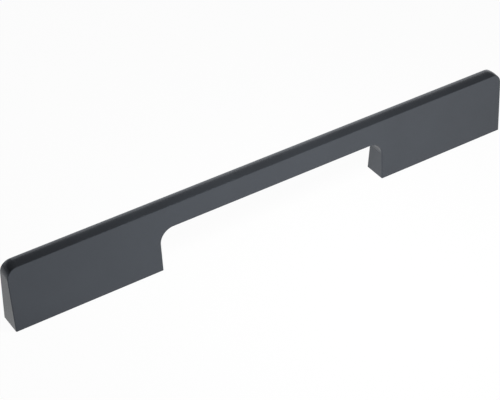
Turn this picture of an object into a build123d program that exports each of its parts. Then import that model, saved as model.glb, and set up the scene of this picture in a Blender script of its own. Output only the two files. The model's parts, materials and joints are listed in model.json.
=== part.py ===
from build123d import *
import os
from math import radians, tan

# Furniture handle: a straight bar on two broad legs, die cast in one piece and painted.
# Millimetres. X runs along the bar, Z points away from the furniture front,
# and the feet stand on the plane Z = 0 with the origin midway between them.

# Driving dimensions
hole_spacing = 160.0         # between the two fixing screws
leg_length = 60.0            # each leg along the handle, centred on its screw
height = 26.8                # from the feet to the crest of the bar's outer face
bar_depth = 9.8              # from that crest to the underside of the bar
foot_thickness = 9.7         # across the handle at the feet
draft_angle = 4.3            # lean of the front and back faces, which lets the casting leave its die
crown_height = 0.35          # rise of the bar's outer face from its edges to its crest
outer_corner_radius = 4.3    # the two ends of the bar
gap_corner_radius = 5.7      # where each leg turns into the underside of the bar
edge_radius = 0.4            # soft edges round the front and back faces
thread_diameter = 4.0        # M4 fixing thread, across the roots of the tapped hole
thread_depth = 11.0          # tapped length, from the foot plane
mouth_diameter = 4.8         # countersunk mouth of the tapped hole
mouth_angle = 90.0           # included angle of the countersink
drill_point_angle = 118.0    # included angle of the drill's point at the blind end

# Sizes that follow
overall_length = hole_spacing + leg_length
gap_width = hole_spacing - leg_length
gap_height = height - bar_depth
crown_edge = height - crown_height
half_foot = foot_thickness / 2
half_top = half_foot - crown_edge * tan(radians(draft_angle))
drill_point_length = thread_diameter / 2 / tan(radians(drill_point_angle / 2))

feet_plane = Plane.XY

with BuildPart() as handle:
    # Cross section: broad at the feet, drawn in by the draft, with a slightly crowned outer face
    with BuildSketch(Plane.YZ):
        with BuildLine():
            Polyline((-half_top, crown_edge), (-half_foot, 0), (half_foot, 0), (half_top, crown_edge))
            ThreePointArc((half_top, crown_edge), (0, height), (-half_top, crown_edge))
        make_face()
    extrude(amount=overall_length / 2, both=True)

    # Rounded ends of the bar, where the crowned face rolls over into the flat end faces
    end_corners = handle.edges().filter_by(GeomType.CIRCLE)
    fillet(end_corners, radius=outer_corner_radius)

    # Finger gap between the legs
    with BuildSketch(Plane.XZ) as finger_gap:
        Rectangle(gap_width, gap_height, align=(Align.CENTER, Align.MIN))
        gap_corners = finger_gap.vertices().group_by(Axis.Y)[-1]
        fillet(gap_corners, radius=gap_corner_radius)
    extrude(amount=foot_thickness, both=True, mode=Mode.SUBTRACT)

    # Soft edges follow the whole outline of both broad faces and stop at the feet, which stay crisp
    broad_faces = handle.faces().sort_by(SortBy.AREA)[-2:]
    soft_edges = broad_faces.edges().filter_by(lambda edge: edge.center().Z > edge_radius)
    fillet(soft_edges, radius=edge_radius)

    # Blind tapped holes, one in the middle of each foot, drilled up from below
    with Locations(-feet_plane):
        with GridLocations(hole_spacing, 0, 2, 1):
            CounterSinkHole(
                radius=thread_diameter / 2,
                counter_sink_radius=mouth_diameter / 2,
                depth=thread_depth,
                counter_sink_angle=mouth_angle,
            )
    with Locations(feet_plane.offset(thread_depth)):
        with GridLocations(hole_spacing, 0, 2, 1):
            Cone(
                bottom_radius=thread_diameter / 2,
                top_radius=0,
                height=drill_point_length,
                align=(Align.CENTER, Align.CENTER, Align.MIN),
                mode=Mode.SUBTRACT,
            )

handle.part.label = "handle"
os.makedirs("parts", exist_ok=True)
export_step(handle.part, "parts/handle.step")
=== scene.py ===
import json
from math import cos, pi, radians, sin

import bmesh
import bpy
from mathutils import Matrix, Vector


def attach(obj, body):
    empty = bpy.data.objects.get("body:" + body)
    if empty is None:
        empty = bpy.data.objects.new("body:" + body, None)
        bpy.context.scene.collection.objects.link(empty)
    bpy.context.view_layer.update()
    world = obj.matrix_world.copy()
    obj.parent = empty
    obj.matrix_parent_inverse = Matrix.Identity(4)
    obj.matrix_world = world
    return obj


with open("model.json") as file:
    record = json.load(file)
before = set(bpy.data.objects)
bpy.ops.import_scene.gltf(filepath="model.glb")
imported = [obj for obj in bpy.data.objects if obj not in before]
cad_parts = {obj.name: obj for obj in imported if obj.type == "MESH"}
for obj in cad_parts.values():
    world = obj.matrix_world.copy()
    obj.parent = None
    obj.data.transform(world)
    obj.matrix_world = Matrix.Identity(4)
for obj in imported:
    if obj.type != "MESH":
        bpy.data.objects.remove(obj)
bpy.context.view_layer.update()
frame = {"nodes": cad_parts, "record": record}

# Furniture handle: a zinc casting in satin black paint, with a tapped hole in each foot.
# Metres. X runs along the bar, Z points away from the furniture front, and the feet stand on Z = 0.

mm = 0.001
handle = frame["nodes"]["handle"]

# Tapped holes, from the fixing pattern in the record
screw_holes = next(mount for mount in frame["record"]["mounts"] if mount["name"] == "screw_holes")
hole_spacing = screw_holes["dims"]["spacing_x_mm"] * mm
bore_radius = screw_holes["dims"]["hole_r_mm"] * mm
hole_centres = {"left": -hole_spacing / 2, "right": hole_spacing / 2}
mouth_radius = 2.4 * mm          # of the countersink, which slopes at 45 degrees
mouth_depth = mouth_radius - bore_radius
hole_top = 12.5 * mm             # just above the point that the drill leaves
sole_slope = -0.9                # a face that looks down more steeply than this is part of the sole

# M4 thread in each hole
thread_pitch = 0.7 * mm
thread_height = 0.38 * mm        # from the bore wall to the crest of the thread
thread_end = 10.6 * mm           # where the thread runs out, above the foot plane
crest_width = thread_pitch / 4
root_width = thread_pitch * 7 / 8
wall_overlap = 0.03 * mm         # how far the root of the thread sits in the bore wall
steps_per_turn = 40
fade_turns = 0.75                # length of the run-out at each end
fade_least = 0.05                # share of the ridge that is left at its very ends

# Finishes: the noise that makes soft patches mostly lies between these two values
patch_low = 0.3
patch_high = 0.7

# Camera, looking down on the handle from the front left
camera_azimuth = radians(-32.93)
camera_elevation = radians(37.62)
camera_roll = radians(-0.673)
camera_distance = 588.4 * mm
camera_aim = Vector((-4.25, 7.28, 4.93)) * mm
lens_length = 110.8              # millimetres
sensor_width = 36.0              # millimetres

# Floor
white = (1.0, 1.0, 1.0, 1.0)
floor_drop = 0.1 * mm            # keeps the floor just clear of the feet
floor_reach = 4.0                # from the middle to each side
floor_colour = (0.85, 0.85, 0.85, 1.0)
glow_share = 0.96                # plain white share of the floor in view and in reflections
# Painted shadow: in reflections the floor's white glow is dimmed to the back left, where the handle's
# shadow falls
painted_shadow_from = -80 * mm          # where the painted shadow of the handle starts to dim the floor to the back left, in reflections
painted_shadow_to = -125 * mm
painted_shadow_level = 0.69

# Surroundings, pale near the floor and dim above, and brighter on the side behind the handle
pale_up_to = sin(radians(20))
dim_from = sin(radians(28))
dim_grey = (0.03, 0.03, 0.03, 1.0)
bright_azimuth = radians(168)
bright_edge = 0.7                # cosine of the angle from that side, where it starts to brighten
bright_core = 0.93               # and where it is brightest
level_around = 0.3
level_behind = 2.1

# Softbox
softbox_azimuth = radians(10)
softbox_elevation = radians(62)
softbox_distance = 180 * mm
softbox_size = 100 * mm
softbox_power = 0.37             # watts


def add_node(tree, kind, values=None):
    """A new node in the tree, with the named input sockets set."""
    node = tree.nodes.new(kind)
    for socket, value in (values or {}).items():
        node.inputs[socket].default_value = value
    return node


def add_math(tree, operation, first, second):
    """A two-input maths node, fed by sockets or plain numbers."""
    node = tree.nodes.new("ShaderNodeMath")
    node.operation = operation
    for socket, value in zip(node.inputs, (first, second)):
        if isinstance(value, bpy.types.NodeSocket):
            tree.links.new(value, socket)
        else:
            socket.default_value = value
    return node.outputs["Value"]


def add_range(tree, from_min, from_max, to_min, to_max):
    """A node that maps one range of values to another and holds its ends."""
    return add_node(tree, "ShaderNodeMapRange", {
        "From Min": from_min,
        "From Max": from_max,
        "To Min": to_min,
        "To Max": to_max,
    })


def add_ramp(tree, stops):
    """A colour ramp through the given places and colours."""
    ramp = tree.nodes.new("ShaderNodeValToRGB")
    elements = ramp.color_ramp.elements
    while len(elements) < len(stops):
        elements.new(1.0)
    for element, (place, colour) in zip(elements, stops):
        element.position = place
        element.color = colour
    return ramp


def new_material(name):
    """An empty node material and its output node."""
    material = bpy.data.materials.new(name)
    material.use_nodes = True
    material.node_tree.nodes.clear()
    return material, material.node_tree.nodes.new("ShaderNodeOutputMaterial")


def uneven_surface_group():
    """Slow waves and fine grain as a height, and broad soft patches as a mask."""
    group = bpy.data.node_groups.new("uneven_surface", "ShaderNodeTree")
    for name in ("Wave Scale", "Grain Scale", "Patch Scale", "Grain Share"):
        group.interface.new_socket(name, in_out="INPUT", socket_type="NodeSocketFloat")
    for name in ("Height", "Patches"):
        group.interface.new_socket(name, in_out="OUTPUT", socket_type="NodeSocketFloat")
    given = group.nodes.new("NodeGroupInput")
    result = group.nodes.new("NodeGroupOutput")
    place = group.nodes.new("ShaderNodeTexCoord")
    links = group.links

    waves = add_node(group, "ShaderNodeTexNoise", {"Detail": 1.0})
    grain = add_node(group, "ShaderNodeTexNoise", {"Detail": 2.0})
    patches = add_node(group, "ShaderNodeTexNoise", {"Detail": 3.0, "Roughness": 0.55})
    for noise, scale in ((waves, "Wave Scale"), (grain, "Grain Scale"), (patches, "Patch Scale")):
        links.new(place.outputs["Object"], noise.inputs["Vector"])
        links.new(given.outputs[scale], noise.inputs["Scale"])

    height = group.nodes.new("ShaderNodeMix")
    links.new(given.outputs["Grain Share"], height.inputs["Factor"])
    links.new(waves.outputs["Fac"], height.inputs["A"])
    links.new(grain.outputs["Fac"], height.inputs["B"])
    links.new(height.outputs["Result"], result.inputs["Height"])
    links.new(patches.outputs["Fac"], result.inputs["Patches"])
    return group


def add_uneven_surface(tree, group, waves, grain, patches, grain_share):
    """The uneven surface in a material, with the widths of its waves, grain and patches in metres."""
    node = tree.nodes.new("ShaderNodeGroup")
    node.node_tree = group
    node.inputs["Wave Scale"].default_value = 1 / waves
    node.inputs["Grain Scale"].default_value = 1 / grain
    node.inputs["Patch Scale"].default_value = 1 / patches
    node.inputs["Grain Share"].default_value = grain_share
    return node


def join_finish(tree, surface, tone, sheen, relief, shader, output):
    """Lets the uneven surface drive a finish: its patches the tone and sheen, its height the relief."""
    links = tree.links
    links.new(surface.outputs["Patches"], tone.inputs["Fac"])
    links.new(surface.outputs["Patches"], sheen.inputs["Value"])
    links.new(surface.outputs["Height"], relief.inputs["Height"])
    links.new(tone.outputs["Color"], shader.inputs["Base Color"])
    links.new(sheen.outputs["Result"], shader.inputs["Roughness"])
    links.new(relief.outputs["Normal"], shader.inputs["Normal"])
    links.new(shader.outputs["BSDF"], output.inputs["Surface"])


def black_paint_material(group):
    """Satin black paint with a cool cast and a faint orange peel, a little uneven in tone and sheen."""
    material, output = new_material("satin_black_paint")
    tree = material.node_tree
    surface = add_uneven_surface(
        tree, group, waves=1.1 * mm, grain=0.12 * mm, patches=22 * mm, grain_share=0.25
    )
    darker = (0.033, 0.036, 0.041, 1.0)
    lighter = (0.037, 0.041, 0.047, 1.0)
    cool_gloss = (0.77, 0.86, 1.0, 1.0)
    tone = add_ramp(tree, [(patch_low, darker), (patch_high, lighter)])
    sheen = add_range(tree, patch_low, patch_high, 0.19, 0.25)
    relief = add_node(tree, "ShaderNodeBump", {"Strength": 0.6, "Distance": 0.012 * mm})
    paint = add_node(tree, "ShaderNodeBsdfPrincipled", {"IOR": 1.6, "Specular Tint": cool_gloss})
    join_finish(tree, surface, tone, sheen, relief, paint, output)
    return material


def bare_zinc_material(group):
    """Freshly cut zinc alloy: pale grey metal with fine tool marks."""
    material, output = new_material("bare_zinc")
    tree = material.node_tree
    surface = add_uneven_surface(
        tree, group, waves=0.5 * mm, grain=0.05 * mm, patches=3 * mm, grain_share=0.6
    )
    darker = (0.50, 0.50, 0.51, 1.0)
    lighter = (0.62, 0.62, 0.63, 1.0)
    tone = add_ramp(tree, [(patch_low, darker), (patch_high, lighter)])
    sheen = add_range(tree, patch_low, patch_high, 0.30, 0.45)
    relief = add_node(tree, "ShaderNodeBump", {"Strength": 0.5, "Distance": 0.008 * mm})
    metal = add_node(tree, "ShaderNodeBsdfPrincipled", {"Metallic": 1.0})
    join_finish(tree, surface, tone, sheen, relief, metal, output)
    return material


def finish_handle(paint, metal):
    """Paint all over, and bare metal in the holes, which are drilled and tapped after painting."""
    handle.data.materials.clear()
    handle.data.materials.append(paint)
    handle.data.materials.append(metal)
    for face in handle.data.polygons:
        from_axis = min((face.center.xy - Vector((x, 0.0))).length for x in hole_centres.values())
        at_hole = from_axis < mouth_radius and face.center.z < hole_top
        on_sole = face.normal.z < sole_slope
        face.material_index = 1 if at_hole and not on_sole else 0


def add_thread(name, centre_x, metal):
    """A screw thread's ridge, wound up the bore wall and fading out at both ends."""
    turns = (thread_end - mouth_depth) / thread_pitch
    steps = round(turns * steps_per_turn)
    root = bore_radius + wall_overlap
    mesh = bmesh.new()
    rings = []
    for step in range(steps + 1):
        turn = step / steps_per_turn
        fade = min(1.0, turn / fade_turns, (turns - turn) / fade_turns)
        share = max(fade, fade_least)
        middle = mouth_depth + thread_pitch * turn
        crest = bore_radius - thread_height * share
        outline = [
            (root, -root_width / 2 * share),
            (crest, -crest_width / 2 * share),
            (crest, crest_width / 2 * share),
            (root, root_width / 2 * share),
        ]
        angle = 2 * pi * turn
        rings.append([
            mesh.verts.new((centre_x + radius * cos(angle), radius * sin(angle), middle + rise))
            for radius, rise in outline
        ])
    for lower, upper in zip(rings, rings[1:]):
        for i in range(len(lower)):
            j = (i + 1) % len(lower)
            mesh.faces.new((lower[i], lower[j], upper[j], upper[i]))
    mesh.faces.new(reversed(rings[0]))
    mesh.faces.new(rings[-1])
    bmesh.ops.recalc_face_normals(mesh, faces=mesh.faces)
    data = bpy.data.meshes.new(name)
    mesh.to_mesh(data)
    mesh.free()
    data.shade_smooth()
    data.set_sharp_from_angle(angle=radians(30))
    data.materials.append(metal)
    thread = bpy.data.objects.new(name, data)
    bpy.context.scene.collection.objects.link(thread)
    return thread


def floor_material():
    """Pale floor: white to the eye, with a painted shadow of the handle that dims it to the back left in
    reflections, see-through from below.
    """
    material, output = new_material("pale_floor")
    tree = material.node_tree
    links = tree.links
    ray = tree.nodes.new("ShaderNodeLightPath")
    place = tree.nodes.new("ShaderNodeNewGeometry")

    # Share of the floor that is plain white; the rest takes the light and the shadow
    bounced = add_math(tree, "MAXIMUM", ray.outputs["Is Glossy Ray"], ray.outputs["Is Transmission Ray"])
    seen = add_math(tree, "MAXIMUM", ray.outputs["Is Camera Ray"], bounced)
    share = add_math(tree, "MULTIPLY", seen, glow_share)

    # How bright that white is, with the handle's shadow painted in to the back left for reflections
    parts = tree.nodes.new("ShaderNodeSeparateXYZ")
    glow_under_painted_shadow = add_range(tree, painted_shadow_to, painted_shadow_from, painted_shadow_level, 1.0)
    links.new(place.outputs["Position"], parts.inputs["Vector"])
    from_back_left = add_math(tree, "SUBTRACT", parts.outputs["X"], parts.outputs["Y"])
    links.new(from_back_left, glow_under_painted_shadow.inputs["Value"])
    brightness = add_math(tree, "MAXIMUM", ray.outputs["Is Camera Ray"], glow_under_painted_shadow.outputs["Result"])

    matt = add_node(tree, "ShaderNodeBsdfDiffuse", {"Color": floor_colour})
    glow = add_node(tree, "ShaderNodeEmission", {"Color": white})
    topside = tree.nodes.new("ShaderNodeMixShader")
    links.new(brightness, glow.inputs["Strength"])
    links.new(share, topside.inputs["Fac"])
    links.new(matt.outputs["BSDF"], topside.inputs[1])
    links.new(glow.outputs["Emission"], topside.inputs[2])

    underside = tree.nodes.new("ShaderNodeBsdfTransparent")
    sides = tree.nodes.new("ShaderNodeMixShader")
    links.new(place.outputs["Backfacing"], sides.inputs["Fac"])
    links.new(topside.outputs["Shader"], sides.inputs[1])
    links.new(underside.outputs["BSDF"], sides.inputs[2])
    links.new(sides.outputs["Shader"], output.inputs["Surface"])
    return material


def add_floor():
    """A broad floor just below the feet."""
    mesh = bmesh.new()
    bmesh.ops.create_grid(mesh, x_segments=1, y_segments=1, size=floor_reach)
    data = bpy.data.meshes.new("floor")
    mesh.to_mesh(data)
    mesh.free()
    data.materials.append(floor_material())
    floor = bpy.data.objects.new("floor", data)
    floor.location.z = -floor_drop
    bpy.context.scene.collection.objects.link(floor)


def light_surroundings():
    """The surroundings as light, and plain white where the camera looks past the floor."""
    world = bpy.data.worlds.new("studio")
    bpy.context.scene.world = world
    world.use_nodes = True
    tree = world.node_tree
    tree.nodes.clear()
    links = tree.links
    direction = tree.nodes.new("ShaderNodeTexCoord")
    room = tree.nodes.new("ShaderNodeBackground")

    # Pale below, dim above
    parts = tree.nodes.new("ShaderNodeSeparateXYZ")
    fade = add_ramp(tree, [(pale_up_to, white), (dim_from, dim_grey)])
    links.new(direction.outputs["Generated"], parts.inputs["Vector"])
    links.new(parts.outputs["Z"], fade.inputs["Fac"])
    links.new(fade.outputs["Color"], room.inputs["Color"])

    # Brighter behind the handle
    bright_side = Vector((sin(bright_azimuth), -cos(bright_azimuth), 0.0))
    nearness = add_node(tree, "ShaderNodeVectorMath", {1: bright_side})
    nearness.operation = "DOT_PRODUCT"
    level = add_range(tree, bright_edge, bright_core, level_around, level_behind)
    links.new(direction.outputs["Generated"], nearness.inputs[0])
    links.new(nearness.outputs["Value"], level.inputs["Value"])
    links.new(level.outputs["Result"], room.inputs["Strength"])

    backdrop = add_node(tree, "ShaderNodeBackground", {"Color": white, "Strength": 1.0})
    ray = tree.nodes.new("ShaderNodeLightPath")
    mixed = tree.nodes.new("ShaderNodeMixShader")
    output = tree.nodes.new("ShaderNodeOutputWorld")
    links.new(ray.outputs["Is Camera Ray"], mixed.inputs["Fac"])
    links.new(room.outputs["Background"], mixed.inputs[1])
    links.new(backdrop.outputs["Background"], mixed.inputs[2])
    links.new(mixed.outputs["Shader"], output.inputs["Surface"])


def stand_at(azimuth, elevation, distance, aim=Vector((0.0, 0.0, 0.0)), roll=0.0):
    """The place of something that looks at the aim from the given direction and distance."""
    turn = (
        Matrix.Rotation(azimuth, 4, "Z")
        @ Matrix.Rotation(pi / 2 - elevation, 4, "X")
        @ Matrix.Rotation(roll, 4, "Z")
    )
    return Matrix.Translation(aim) @ turn @ Matrix.Translation((0.0, 0.0, distance))


def add_softbox():
    """A small square softbox above the front, which lights the paint but isn't mirrored in it."""
    data = bpy.data.lights.new("front_softbox", "AREA")
    data.shape = "SQUARE"
    data.size = softbox_size
    data.energy = softbox_power
    lamp = bpy.data.objects.new("front_softbox", data)
    lamp.matrix_world = stand_at(softbox_azimuth, softbox_elevation, softbox_distance)
    lamp.visible_camera = False
    lamp.visible_glossy = False
    bpy.context.scene.collection.objects.link(lamp)


def add_camera():
    """The photograph's camera."""
    data = bpy.data.cameras.new("camera")
    data.sensor_width = sensor_width
    data.lens = lens_length
    camera = bpy.data.objects.new("camera", data)
    camera.matrix_world = stand_at(
        camera_azimuth, camera_elevation, camera_distance, aim=camera_aim, roll=camera_roll
    )
    bpy.context.scene.collection.objects.link(camera)
    bpy.context.scene.camera = camera


uneven_surface = uneven_surface_group()
black_paint = black_paint_material(uneven_surface)
bare_zinc = bare_zinc_material(uneven_surface)
finish_handle(black_paint, bare_zinc)
for side, centre_x in hole_centres.items():
    thread = add_thread(side + "_thread", centre_x, bare_zinc)
    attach(thread, "root")

add_floor()
light_surroundings()
add_softbox()
add_camera()
bpy.context.scene.view_settings.view_transform = "Standard"
